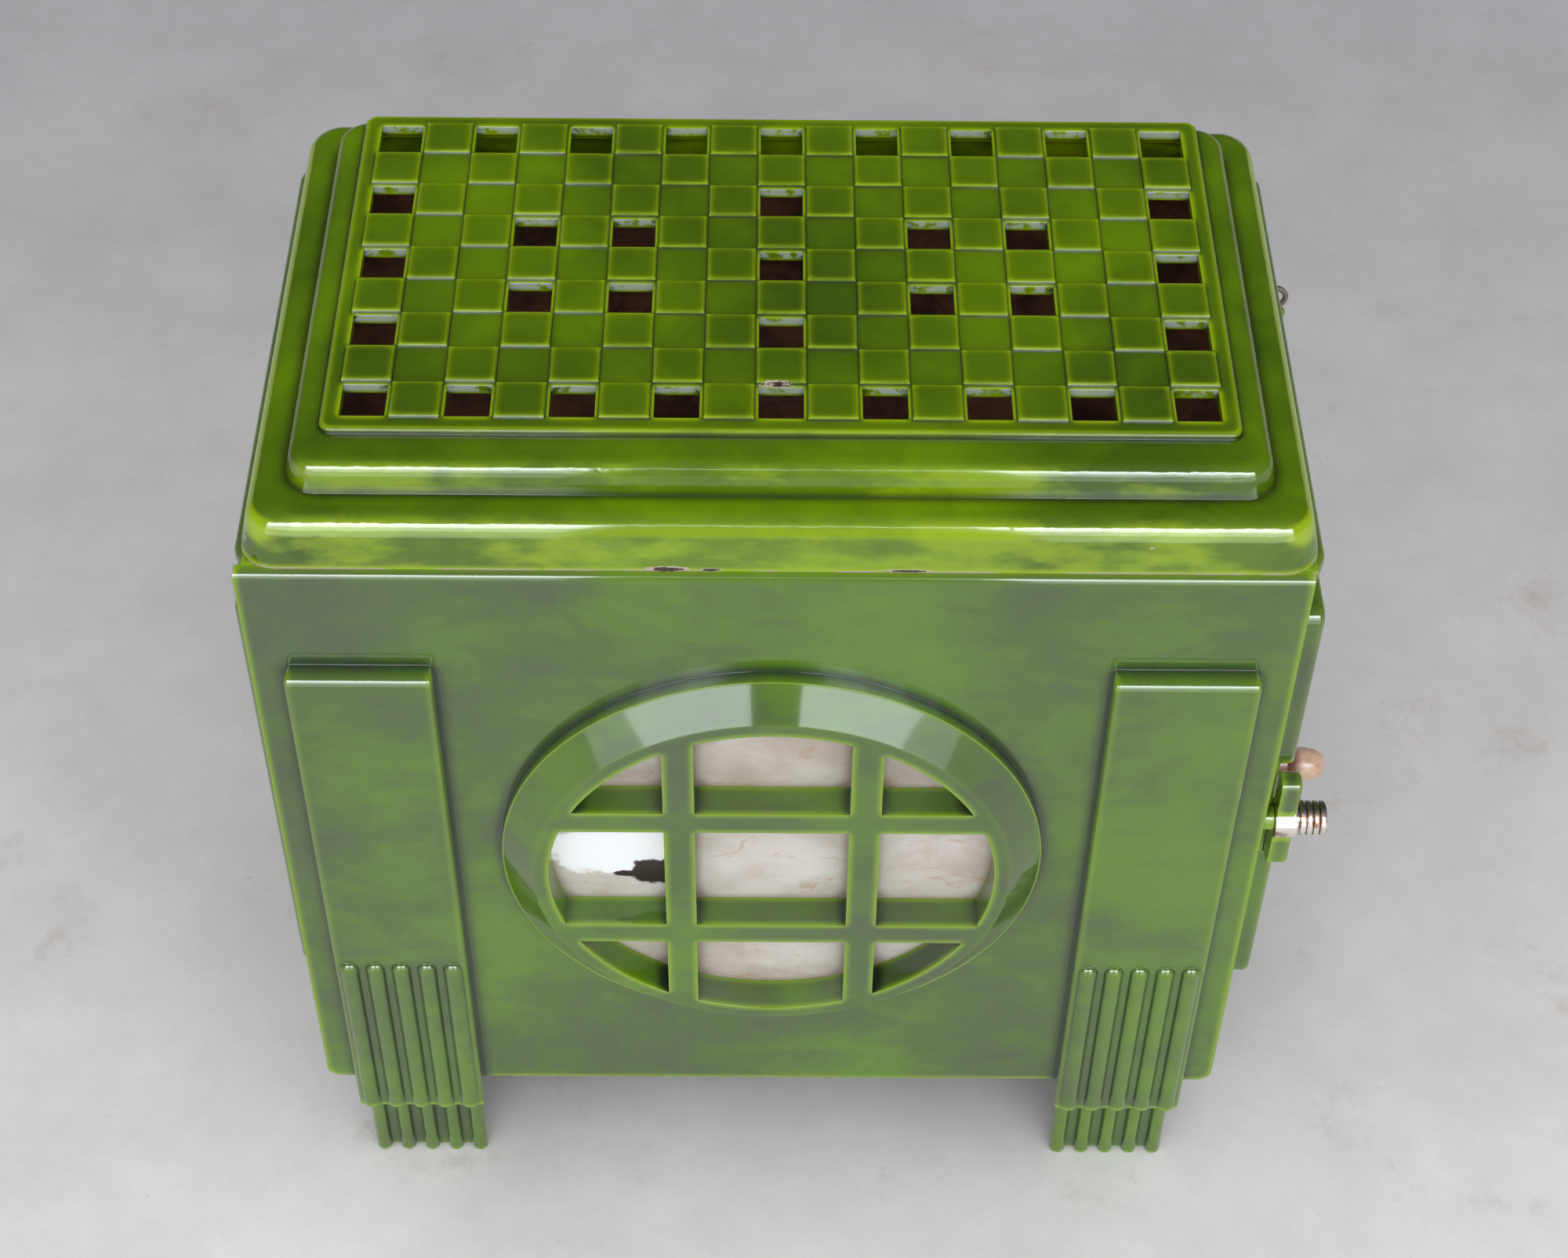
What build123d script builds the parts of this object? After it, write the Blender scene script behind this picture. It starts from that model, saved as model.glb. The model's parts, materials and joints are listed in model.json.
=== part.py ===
from build123d import *
import math
import os

# Enamelled wood stove. Millimetres, +X to the viewer's right, +Y to the back, +Z up.
# The origin is on the floor, in the middle of the body.

# Plan sizes, all from the pitch of the lid's grid of squares
PITCH, COLS, ROWS = 27.0, 17, 9
HOLE, SQUARE, SQUARE_UP = PITCH - 3.4, PITCH - 0.8, 2.0
GRID_X, GRID_Y, GRID_CY = COLS * PITCH / 2 + 8.0, ROWS * PITCH / 2 + 8.0, 10.0
TIER2_X, TIER2_Y = GRID_X + 18.1, GRID_Y + 14.9
LID_X, LID_Y = TIER2_X + 24.2, TIER2_Y + 24.1
PLATE_T = 7.0
SIDE_X = LID_X - 1.8      # outer face of the side plates
FRONT_HALF_W = LID_X - 1.0
FRONT_SHIFT = -3.0        # the front casting sits a little to the left of the lid
FRONT_Y = -LID_Y - 4.1    # outer face of the front plate
BACK_Y = LID_Y + 3.9      # outer face of the back plate
FI_Y = FRONT_Y + PLATE_T
BI_Y = BACK_Y - PLATE_T
SI_X = SIDE_X - PLATE_T

# Heights
PLATE_BOTTOM_Z = 87.0
SEAT_Z = 548.0            # the level on which the lid rests
STEP1_UP, STEP2_UP, GRID_UP = 30.8, 18.2, 4.0
TIER1_TOP = SEAT_Z + STEP1_UP
TIER2_TOP = TIER1_TOP + STEP2_UP
GRID_Z = TIER2_TOP + GRID_UP
LID_WALL = 7.5
RIM_PROUD, RIM_DEEP, RIM_SHORT = 5.5, 13.0, 2.4

# Lid hinge
HINGE_X, HINGE_Y, HINGE_Z, HINGE_R = SIDE_X - 88.0, BACK_Y + 13.6, SEAT_Z - 8.0, 8.0
ARM_TOP = SEAT_Z + 9.0
BRACKET_Z, BRACKET_SCREW_Z = HINGE_Z - 35.0, HINGE_Z - 26.0

# Window
WIN_Z, WIN_R, WIN_EDGE, WIN_PROUD = SEAT_Z - 226.0, 153.5, 8.0, 22.5
WIN_FACE_R = WIN_R - 18.5
WIN_OPEN_R = WIN_FACE_R - 8.8
BAR_IN, BAR_OUT_X, BAR_OUT_Z = 43.0, 60.4, 59.4
MICA_Y = FRONT_Y - WIN_PROUD + 20.0
MICA_R, MICA_T = WIN_OPEN_R + 12.3, 0.8

# Pilasters and feet
PIL_OUT = SIDE_X - 18.4
PIL_IN = PIL_OUT - 78.6
PIL_TOP, PIL_END = SEAT_Z - 69.5, PLATE_BOTTOM_Z - 15.0
PIL_PROUD, REED_R, REED_PITCH, REED_TOP = 12.0, 6.0, 15.4, PIL_END + 153.0
REED_SINK = 2.0
FOOT_PITCH, FOOT_R, FOOT_HALF = 15.6, 4.8, 30.0

# Inside
BASE_Z0 = PLATE_BOTTOM_Z + 7.0
BASE_Z1 = BASE_Z0 + 7.0
BED_Z0 = BASE_Z1 + 70.0
BED_Z1 = BED_Z0 + 8.0
LINER_T, LINER_TOP = 25.0, SEAT_Z - 196.0
HOT_Z1 = SEAT_Z - 5.0
HOT_Z0 = HOT_Z1 - 8.0
HOT_HOLE_R, COVER_R = 92.0, 100.0
ROD_X, ROD_Y, ROD_R = SI_X - 9.0, BI_Y - 13.4, 4.0
BAFFLE_CY, BAFFLE_DEEP = BI_Y - 102.4, 166.0
FLUE_Z, FLUE_R, FLUE_LONG = LINER_TOP + 78.0, 62.5, 62.0
FLUE_BORE_R, FLUE_BOLT = FLUE_R - 5.0, FLUE_R + 3.5
PAN_X0, PAN_Y, PAN_TOP = -70.0, 88.0, BED_Z0 - 24.0
DRAW_Y, DRAW_Z0, DRAW_Z1 = PAN_Y + 12.0, BASE_Z1 - 2.0, BED_Z0 - 3.0
ASH_KNOB_Z = (DRAW_Z0 + DRAW_Z1) / 2

# Loading door, on the right side
DOOR_Y0, DOOR_WIDE, DOOR_T = FI_Y + 11.6, 248.0, 13.0
DOOR_Y1 = DOOR_Y0 + DOOR_WIDE
DOOR_Z0, DOOR_Z1 = BED_Z0 + 3.0, SEAT_Z - 47.0
OPEN_Y0, OPEN_Y1, OPEN_Z0, OPEN_Z1 = DOOR_Y0 + 16.0, DOOR_Y1 - 16.0, DOOR_Z0 + 18.0, DOOR_Z1 - 18.0
AXIS_X, AXIS_Y = SIDE_X + 14.0, DOOR_Y1 + 9.0
PIN_R, RUN = 4.0, 0.05
LAND_X, SEAL_T = SIDE_X + 5.0, 3.5
LATCH_Y, LATCH_Z, LATCH_LONG, LATCH_WIDE = DOOR_Y0 - 7.0, (DOOR_Z0 + DOOR_Z1) / 2 + 1.5, 72.0, 14.0
LATCH_T, HUB_R = 12.0, 11.5
RECESS = LATCH_LONG / 2 + 4.0    # half size of the square recess in which the latch turns
AIR_Y, AIR_Z, AIR_R, AIR_SLOTS = (DOOR_Y0 + DOOR_Y1) / 2, DOOR_Z0 + 55.0, 33.0, 6
SHIELD_Z0 = OPEN_Z0 + 80.0

os.makedirs("parts", exist_ok=True)


def box(x0, x1, y0, y1, z0, z1):
    return Pos((x0 + x1) / 2, (y0 + y1) / 2, (z0 + z1) / 2) * Box(x1 - x0, y1 - y0, z1 - z0)


def rod_x(x0, x1, y, z, r):
    return Pos((x0 + x1) / 2, y, z) * Rot(0, 90, 0) * Cylinder(r, x1 - x0)


def rod_y(x, y0, y1, z, r):
    return Pos(x, (y0 + y1) / 2, z) * Rot(90, 0, 0) * Cylinder(r, y1 - y0)


def rod_z(x, y, z0, z1, r):
    return Pos(x, y, (z0 + z1) / 2) * Cylinder(r, z1 - z0)


def hexagon_z(x, y, z0, z1, across):
    outline = Pos(x, y, z0) * RegularPolygon(across / 2, 6, major_radius=False)
    return extrude(outline, z1 - z0)


def hexagon_y(x, z, y0, y1, across):
    outline = Plane(origin=(x, y0, z), z_dir=(0, 1, 0)) * RegularPolygon(across / 2, 6, major_radius=False)
    return extrude(outline, y1 - y0)


def rounded_plan(hx, hy, r, z, cy=0.0):
    return Pos(0, cy, z) * RectangleRounded(2 * hx, 2 * hy, r)


def side_plan(y0, y1, z0, z1, r, x):
    """A rounded rectangle in the plane of a side wall, its normal along +X."""
    plane = Plane(origin=(x, (y0 + y1) / 2, (z0 + z1) / 2), x_dir=(0, 1, 0), z_dir=(1, 0, 0))
    return plane * RectangleRounded(y1 - y0, z1 - z0, r)


def front_plan(x0, x1, z0, z1, r, y):
    """A rounded rectangle facing the front, its normal along -Y."""
    plane = Plane(origin=((x0 + x1) / 2, y, (z0 + z1) / 2), x_dir=(1, 0, 0), z_dir=(0, -1, 0))
    return plane * RectangleRounded(x1 - x0, z1 - z0, r)


def save(shape, name):
    export_step(shape, "parts/" + name + ".step")


# Lid: one hollow casting in two coved steps with the pierced grid on top
def tier(hx0, hy0, z0, hx1, hy1, z1, r_plan, r_top):
    body = loft([rounded_plan(hx0, hy0, r_plan, z0).face(), rounded_plan(hx1, hy1, r_plan, z1).face()], ruled=True)
    rim = body.faces().sort_by(Axis.Z)[-1].edges()
    return fillet(rim, r_top)


lid = tier(LID_X, LID_Y, SEAT_Z, LID_X - 7.0, LID_Y - 4.6, TIER1_TOP, 20, 13)
lid += tier(TIER2_X, TIER2_Y, TIER1_TOP, TIER2_X - 4.0, TIER2_Y - 2.6, TIER2_TOP, 17, 9)
grid_slab = extrude(rounded_plan(GRID_X, GRID_Y, 6, TIER2_TOP - 3, GRID_CY), GRID_Z - TIER2_TOP + 3)
grid_slab = chamfer(grid_slab.faces().sort_by(Axis.Z)[-1].edges(), 1.2)
lid += grid_slab
lid -= extrude(rounded_plan(LID_X - LID_WALL, LID_Y - LID_WALL, 13, SEAT_Z), STEP1_UP - 6.8)
lid -= extrude(rounded_plan(TIER2_X - LID_WALL - 1.0, TIER2_Y - LID_WALL - 0.5, 12, SEAT_Z), TIER2_TOP - SEAT_Z - 7.0)
lid -= extrude(rounded_plan(GRID_X - 6.0, GRID_Y - 6.0, 6, SEAT_Z, GRID_CY), GRID_Z - SEAT_Z - 6.0)


def cell(r, c):
    return (c - (COLS - 1) / 2) * PITCH, GRID_CY + (r - (ROWS - 1) / 2) * PITCH


def is_hole(r, c):
    if (r + c) % 2:
        return False
    if r in (0, ROWS - 1):
        return True
    if r % 2 == 0:
        return c in (0, COLS // 2, COLS - 1)
    return r in (3, 5) and c in (3, 5, 11, 13)


raised, holes = [], []
for row in range(ROWS):
    for col in range(COLS):
        cx, cy = cell(row, col)
        if (row + col) % 2:
            raised.append(Pos(cx, cy) * Rectangle(SQUARE, SQUARE))
        elif is_hole(row, col):
            holes.append(box(cx - HOLE / 2, cx + HOLE / 2, cy - HOLE / 2, cy + HOLE / 2, SEAT_Z + 12.0, GRID_Z + 9.0))
pads = [Pos(0, 0, GRID_Z - 1) * extrude(s, SQUARE_UP + 1.0) for s in raised]
pads = [chamfer(p.faces().sort_by(Axis.Z)[-1].edges(), 0.9) for p in pads]
lid = lid.fuse(*pads)
lid = lid.cut(*holes)

# Lid hinge: two knuckles on the lid, each between the ears of a bracket on the back plate
lid_arms = []
brackets, lid_pins = [], []
for s in (-1, 1):
    x = s * HINGE_X
    arm = rod_x(x - 13, x + 13, HINGE_Y, HINGE_Z, HINGE_R) + box(x - 13, x + 13, LID_Y - 5.5, HINGE_Y, SEAT_Z, ARM_TOP)
    arm += box(x - 13, x + 13, HINGE_Y - 12, HINGE_Y + HINGE_R, HINGE_Z, ARM_TOP)
    arm -= rod_x(x - 20, x + 20, HINGE_Y, HINGE_Z, PIN_R + RUN)
    lid_arms.append(arm)
    ears = box(x - 22, x + 22, BACK_Y, BACK_Y + 4, BRACKET_Z, HINGE_Z - 9)
    for e in (-1, 1):
        ex = x + e * 17.5
        ear = box(ex - 4, ex + 4, BACK_Y, HINGE_Y, HINGE_Z - 22, HINGE_Z)
        ear += box(ex - 4, ex + 4, BACK_Y, HINGE_Y, HINGE_Z - 8, HINGE_Z + 6)
        ear += rod_x(ex - 4, ex + 4, HINGE_Y, HINGE_Z, HINGE_R - 0.5)
        ears += ear
    ears -= rod_x(x - 30, x + 30, HINGE_Y, HINGE_Z, PIN_R + 0.02)
    ears -= rod_y(x, BACK_Y - 1, BACK_Y + 10, BRACKET_SCREW_Z, 3.02)
    brackets.append(ears)
    lid_pins.append(rod_x(x - 24, x + 24, HINGE_Y, HINGE_Z, PIN_R)
                    + rod_x(x - 24.5, x - 21.5, HINGE_Y, HINGE_Z, 6.0)
                    + rod_x(x + 21.5, x + 24.5, HINGE_Y, HINGE_Z, 6.0))
lid_back = lid_arms[0] + lid_arms[1]
lid_back -= extrude(rounded_plan(LID_X - LID_WALL, LID_Y - LID_WALL, 13, SEAT_Z), STEP1_UP - 6.8)
lid += lid_back
save(lid, "lid")
save(Compound(children=brackets), "lid_hinge_brackets")
save(Compound(children=lid_pins), "lid_hinge_pins")
save(Compound(children=[rod_y(s * HINGE_X, BACK_Y + 4, BACK_Y + 8, BRACKET_SCREW_Z, 5.5)
                        + rod_y(s * HINGE_X, BACK_Y - 6, BACK_Y + 4, BRACKET_SCREW_Z, 3.0) for s in (-1, 1)]), "bracket_screws")

# Front plate: casting with the pilasters, the front feet and the round barred window
front = extrude(front_plan(-FRONT_HALF_W, FRONT_HALF_W, PLATE_BOTTOM_Z, SEAT_Z + 30, 8, FI_Y), PLATE_T)
front -= box(-FRONT_HALF_W - 5, FRONT_HALF_W + 5, FRONT_Y - 5, FI_Y + 5, SEAT_Z, SEAT_Z + 40)
top_edge = front.edges().filter_by(Axis.X).filter_by(lambda e: abs(e.center().Z - SEAT_Z) < 0.1
                                                       and abs(e.center().Y - FRONT_Y) < 0.1)
front = fillet(top_edge, 4.5)
for s in (-1, 1):
    pc = s * (PIL_IN + PIL_OUT) / 2
    half = (PIL_OUT - PIL_IN) / 2
    block = box(pc - half, pc + half, FRONT_Y - PIL_PROUD, FI_Y, PIL_END, PIL_TOP)
    face = block.faces().sort_by(Axis.Y)[0]
    top = face.edges().sort_by(Axis.Z)[-1]
    block = fillet(top, 6.0)
    verticals = block.edges().filter_by(Axis.Z).filter_by(lambda e: e.center().Y < FRONT_Y - PIL_PROUD + 0.5)
    block = fillet(verticals, 2.5)
    reed_y = FRONT_Y - PIL_PROUD + REED_SINK
    for i in range(-2, 3):
        x = pc + i * REED_PITCH
        reed = rod_z(x, reed_y, PIL_END + 3, REED_TOP - REED_R, REED_R)
        reed += Pos(x, reed_y, REED_TOP - REED_R) * Sphere(REED_R)
        block += reed
    foot = box(pc - FOOT_HALF, pc + FOOT_HALF, FRONT_Y + 4.0, FRONT_Y + 24, 2.0, BASE_Z0)
    for i in range(-2, 3):
        x = pc + i * FOOT_PITCH
        lobe = rod_z(x, FRONT_Y + 4.0, 0, PIL_END + 4, FOOT_R)
        lobe = chamfer(lobe.edges().sort_by(Axis.Z)[0], 1.5)
        foot += lobe
    block += foot
    front += block
boss = rod_y(0, FRONT_Y - WIN_EDGE, FI_Y, WIN_Z, WIN_R)
boss += Pos(0, FRONT_Y - (WIN_EDGE + WIN_PROUD) / 2, WIN_Z) * Rot(90, 0, 0) * Cone(
    WIN_R - 0.8, WIN_FACE_R, WIN_PROUD - WIN_EDGE)
front += boss
front -= rod_y(0, FRONT_Y - 30, FI_Y + 5, WIN_Z, WIN_OPEN_R)
front -= rod_y(0, MICA_Y, FI_Y + 5, WIN_Z, MICA_R + 0.5)
bars = None
for s in (-1, 1):
    lo, hi = sorted((s * BAR_IN, s * BAR_OUT_X))
    zlo, zhi = sorted((s * BAR_IN, s * BAR_OUT_Z))
    pair = box(lo, hi, FRONT_Y - WIN_PROUD, MICA_Y, WIN_Z - WIN_FACE_R, WIN_Z + WIN_FACE_R)
    pair += box(-WIN_FACE_R, WIN_FACE_R, FRONT_Y - WIN_PROUD, MICA_Y, WIN_Z + zlo, WIN_Z + zhi)
    bars = pair if bars is None else bars + pair
bars = bars & rod_y(0, FRONT_Y - WIN_PROUD, MICA_Y, WIN_Z, WIN_OPEN_R + 1.0)
front += bars
screw_spots = [((MICA_R + 6.5) * math.cos(math.radians(a)), WIN_Z + (MICA_R + 6.5) * math.sin(math.radians(a)))
               for a in (45, 135, 225, 315)]
for x, z in screw_spots:
    front -= rod_y(x, FI_Y - 9, FI_Y + 1, z, 2.55)
save(Pos(FRONT_SHIFT, 0, 0) * front, "front_plate")

# Mica sheet and the ring that holds it
save(Pos(FRONT_SHIFT, 0, 0) * rod_y(0, MICA_Y, MICA_Y + MICA_T, WIN_Z, MICA_R), "mica_window")
keeper = rod_y(0, MICA_Y + MICA_T, FI_Y, WIN_Z, MICA_R) + rod_y(0, FI_Y, FI_Y + 3, WIN_Z, MICA_R + 12.5)
keeper -= rod_y(0, MICA_Y - 5, FI_Y + 9, WIN_Z, MICA_R - 9.5)
for x, z in screw_spots:
    keeper -= rod_y(x, FI_Y - 9, FI_Y + 9, z, 2.6)
save(Pos(FRONT_SHIFT, 0, 0) * keeper, "mica_retainer")
save(Compound(children=[Pos(FRONT_SHIFT, 0, 0) * (rod_y(x, FI_Y - 7, FI_Y + 3, z, 2.5)
                        + rod_y(x, FI_Y + 3, FI_Y + 6, z, 4.5)) for x, z in screw_spots]), "retainer_screws")


# Side plates, each with the rounded rim that shows beside the lid
def side_plate(s):
    wall = box(min(s * SI_X, s * SIDE_X), max(s * SI_X, s * SIDE_X), FI_Y, BI_Y, PLATE_BOTTOM_Z, SEAT_Z)
    rim_x, rim_y = SIDE_X + RIM_PROUD, BI_Y - RIM_SHORT
    rim = extrude(rounded_plan(rim_x, rim_y, 14, SEAT_Z - RIM_DEEP), RIM_DEEP)
    rim = fillet(rim.faces().sort_by(Axis.Z)[-1].edges(), 4.5)
    rim = chamfer(rim.faces().sort_by(Axis.Z)[0].edges(), 3.0)
    x0, x1 = sorted((s * (SIDE_X - 1), s * (rim_x + 5)))
    rim &= box(x0, x1, -rim_y - 5, rim_y + 5, SEAT_Z - RIM_DEEP - 5, SEAT_Z + 5)
    return wall + rim


left = side_plate(-1)
panel = extrude(side_plan(DOOR_Y0 + 2, DOOR_Y1 + 6, DOOR_Z0 + 4, DOOR_Z1 + 1, 9, -SIDE_X - 12), 13)
panel = fillet(panel.faces().sort_by(Axis.X)[0].edges(), 5)
left += panel
left -= extrude(side_plan(DOOR_Y0 + 12, DOOR_Y1 - 4, DOOR_Z0 + 14, DOOR_Z1 - 9, 6, -SIDE_X - 5), 20)
save(left, "left_side_plate")

right = side_plate(1)
right -= extrude(side_plan(OPEN_Y0, OPEN_Y1, OPEN_Z0, OPEN_Z1, 12, SI_X - 5), 20)
right -= box(SI_X - 5, SIDE_X + 5, -PAN_Y - 5, PAN_Y + 5, BASE_Z1 + 2, PAN_TOP + 13)
boss = rod_x(SIDE_X - 1, LAND_X, LATCH_Y, LATCH_Z, 7.0)
right += boss
right -= rod_x(SI_X - 2, LAND_X + 2, LATCH_Y, LATCH_Z, 3.02)
LUGS_LOW, LUGS_HIGH = DOOR_Z0 + 24.0, DOOR_Z1 - 60.0
lug_spans = [(z + a, z + b) for z in (LUGS_LOW, LUGS_HIGH) for a, b in ((0, 11.0), (38.3, 49.0))]
for z0, z1 in lug_spans:
    right += box(SIDE_X - 1, AXIS_X, AXIS_Y - 8, AXIS_Y + 8, z0, z1)
    right += rod_z(AXIS_X, AXIS_Y, z0, z1, 8)
right -= rod_z(AXIS_X, AXIS_Y, LUGS_LOW - 8, LUGS_HIGH + 54, PIN_R + 0.02)
save(right, "right_side_plate")

# Door hinge pins, dropped in from above, each with a collar; the upper one ends in a ring
pins = []
for z0, z1 in ((LUGS_LOW - 2, LUGS_LOW + 49), (LUGS_HIGH - 2, LUGS_HIGH + 49)):
    pin = rod_z(AXIS_X, AXIS_Y, z0, z1, PIN_R) + rod_z(AXIS_X, AXIS_Y, z1, z1 + 2.5, 6.0)
    if z0 > LUGS_LOW:
        pin += Pos(AXIS_X, AXIS_Y, z1 + 2.0 + 8.4) * Rot(90, 0, 0) * Torus(7.0, 1.7)
    pins.append(pin)
save(pins[0], "door_hinge_pin_lower")
save(pins[1], "door_hinge_pin_upper")

# Back plate with the rear feet and the flue opening
back = box(-SIDE_X, SIDE_X, BI_Y, BACK_Y, PLATE_BOTTOM_Z, SEAT_Z)
rim_b = back.edges().filter_by(Axis.X).filter_by(lambda e: abs(e.center().Z - SEAT_Z) < 0.1
                                                 and abs(e.center().Y - BACK_Y) < 0.1)
back = fillet(rim_b, 3.0)
for s in (-1, 1):
    pc = s * (PIL_IN + PIL_OUT) / 2
    leg = extrude(Pos(pc, BACK_Y - 12, 0) * RectangleRounded(64, 20, 5), PLATE_BOTTOM_Z + 6)
    leg = chamfer(leg.faces().sort_by(Axis.Z)[0].edges(), 1.5)
    back += leg
    for k in (-1, 0, 1):
        back += box(pc + k * 22 - 3, pc + k * 22 + 3, BI_Y - 10, BI_Y, BASE_Z0 - 7.0, BASE_Z0)
back -= rod_y(0, BI_Y - 5, BACK_Y + 5, FLUE_Z, FLUE_BORE_R)
bolt_spots = [(sx * FLUE_BOLT, FLUE_Z + sz * FLUE_BOLT) for sx in (-1, 1) for sz in (-1, 1)]
for x, z in bolt_spots:
    back -= rod_y(x, BI_Y - 5, BACK_Y + 5, z, 4.05)
for s in (-1, 1):
    back -= rod_y(s * HINGE_X, BI_Y - 2, BACK_Y + 5, BRACKET_SCREW_Z, 3.02)
save(back, "back_plate")

# Flue collar
flange = extrude(Plane(origin=(0, BACK_Y, FLUE_Z), z_dir=(0, 1, 0)) * RectangleRounded(2 * FLUE_R + 33, 2 * FLUE_R + 33, 16), 7)
collar = flange + rod_y(0, BACK_Y, BACK_Y + FLUE_LONG, FLUE_Z, FLUE_R)
collar -= rod_y(0, BACK_Y - 5, BACK_Y + FLUE_LONG + 5, FLUE_Z, FLUE_BORE_R)
for x, z in bolt_spots:
    collar -= rod_y(x, BACK_Y - 5, BACK_Y + 12, z, 4.05)
save(collar, "flue_collar")
save(Compound(children=[rod_y(x, BI_Y - 8, BACK_Y + 7, z, 4.0) + hexagon_y(x, z, BACK_Y + 7, BACK_Y + 12.5, 13)
                        + hexagon_y(x, z, BI_Y - 6.5, BI_Y, 13) for x, z in bolt_spots]), "flue_collar_bolts")

# Base plate, fire bed, grate
rods = [(sx * ROD_X, sy * ROD_Y) for sx in (-1, 1) for sy in (-1, 1)]
base = box(-SI_X, SI_X, FI_Y, BI_Y, BASE_Z0, BASE_Z1)
for y0, y1 in ((-PAN_Y + 2, -PAN_Y + 12), (PAN_Y - 12, PAN_Y - 2)):
    base += box(PAN_X0 - 20, SI_X, y0, y1, BASE_Z1, BASE_Z1 + 3)
base += box(PAN_X0 - 30, PAN_X0 - 20, -PAN_Y + 2, PAN_Y - 2, BASE_Z1, BASE_Z1 + 20)
for x, y in rods:
    base -= rod_z(x, y, BASE_Z0 - 5, BASE_Z1 + 5, 4.3)
save(base, "base_plate")
bed = box(-SI_X, SI_X, FI_Y + 7.6, BI_Y, BED_Z0, BED_Z1) - box(-145, 145, -95, 95, BED_Z0 - 5, BED_Z1 + 5)
for x, y in rods:
    bed -= rod_z(x, y, BED_Z0 - 5, BED_Z1 + 5, 4.3)
save(bed, "fire_bed_plate")
grate = extrude(rounded_plan(156, 106, 10, BED_Z1), 10)
slots = [Pos(i * 24.0, 0, BED_Z1 + 5) * extrude(SlotOverall(176, 11, rotation=90), 8, both=True)
         for i in range(-5, 6)]
grate = grate.cut(*slots)
save(grate, "grate")

# Firebox liners and the smoke baffle
save(chamfer(box(-SI_X, -SI_X + LINER_T, -ROD_Y + 12, ROD_Y - 12, BED_Z1, LINER_TOP).faces().sort_by(Axis.X)[-1].edges(), 2), "liner_left")
save(chamfer(box(-SI_X + LINER_T + 1, SI_X - LINER_T - 1, BI_Y - LINER_T, BI_Y, BED_Z1, LINER_TOP).faces().sort_by(Axis.Y)[0].edges(), 2), "liner_back")
BAFFLE_X0, BAFFLE_X1 = -SI_X + 9.0, SI_X - 26.0
BAFFLE_CX = (BAFFLE_X0 + BAFFLE_X1) / 2
baffle = extrude(Pos(BAFFLE_CX, BAFFLE_CY, LINER_TOP) * RectangleRounded(BAFFLE_X1 - BAFFLE_X0, BAFFLE_DEEP, 12), 6)
for i in range(-4, 5):
    x = BAFFLE_CX + i * 52
    baffle += box(x - 3, x + 3, BAFFLE_CY - 71, BAFFLE_CY + 71, LINER_TOP + 6, LINER_TOP + 11)
save(baffle, "baffle_plate")

# Hotplate, its cover, and the tie rods that clamp the body together
hot = box(-SI_X, SI_X, FI_Y, BI_Y, HOT_Z0, HOT_Z1)
hot -= rod_z(0, 0, HOT_Z0 - 5, HOT_Z1 + 5, HOT_HOLE_R)
hot -= rod_z(0, 0, HOT_Z1 - 4, HOT_Z1 + 5, COVER_R + 1.0)
for x, y in rods:
    hot -= rod_z(x, y, HOT_Z0 - 5, HOT_Z1 + 5, 4.3)
save(hot, "hotplate")
cover = rod_z(0, 0, HOT_Z1 - 4, HOT_Z1 + 1, COVER_R) + rod_z(0, 0, HOT_Z0, HOT_Z1 - 4, HOT_HOLE_R - 1.0)
for r in (40, 62, 84):
    cover -= Pos(0, 0, HOT_Z1 + 1) * Torus(r, 1.2)
cover -= Pos(0, 78, HOT_Z1) * extrude(SlotOverall(34, 11), 8, both=True) & rod_z(0, 0, HOT_Z1 - 4, HOT_Z1 + 9, 99)
save(cover, "hotplate_cover")
save(Compound(children=[rod_z(x, y, BASE_Z0 - 5, HOT_Z1 + 9, ROD_R) + hexagon_z(x, y, BASE_Z0 - 6, BASE_Z0, 14)
                        for x, y in rods]), "tie_rods")
nuts = []
for x, y in rods:
    nut = hexagon_z(x, y, HOT_Z1, HOT_Z1 + 6.5, 13) - rod_z(x, y, HOT_Z1 - 2, HOT_Z1 + 9, ROD_R + 0.02)
    nuts.append(nut)
save(Compound(children=nuts), "tie_rod_nuts")

# Loading door: leaf, heat shield, rope seal
IN_X = SIDE_X + 0.3
leaf = extrude(side_plan(DOOR_Y0, DOOR_Y1, DOOR_Z0, DOOR_Z1, 9, IN_X), DOOR_T)
leaf = fillet(leaf.faces().sort_by(Axis.X)[-1].edges(), 4.5)
leaf -= box(LAND_X, SIDE_X + 30, DOOR_Y0 - 5, LATCH_Y + RECESS, LATCH_Z - RECESS, LATCH_Z + RECESS)
for z0, z1 in ((LUGS_LOW + 11.3, LUGS_LOW + 38), (LUGS_HIGH + 11.3, LUGS_HIGH + 38)):
    knuckle = rod_z(AXIS_X, AXIS_Y, z0, z1, 7.8) + box(IN_X + 1.0, AXIS_X, DOOR_Y1 - 2, AXIS_Y, z0, z1)
    knuckle -= rod_z(AXIS_X, AXIS_Y, z0 - 2, z1 + 2, PIN_R + RUN)
    leaf += knuckle
groove = extrude(side_plan(OPEN_Y0 - 10, OPEN_Y1 + 10, OPEN_Z0 - 12, OPEN_Z1 + 12, 8, IN_X), SEAL_T)
groove -= extrude(side_plan(OPEN_Y0 - 4, OPEN_Y1 + 4, OPEN_Z0 - 6, OPEN_Z1 + 6, 6, IN_X - 1), 8)
leaf -= groove
slot_tool = []
for i in range(AIR_SLOTS):
    a = math.radians(360 / AIR_SLOTS * i)
    slot_tool.append(Pos(LAND_X, AIR_Y + 19 * math.cos(a), AIR_Z + 19 * math.sin(a))
                     * Rot(math.degrees(a), 0, 0) * Box(60, 16, 8))
leaf = leaf.cut(*slot_tool)
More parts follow.
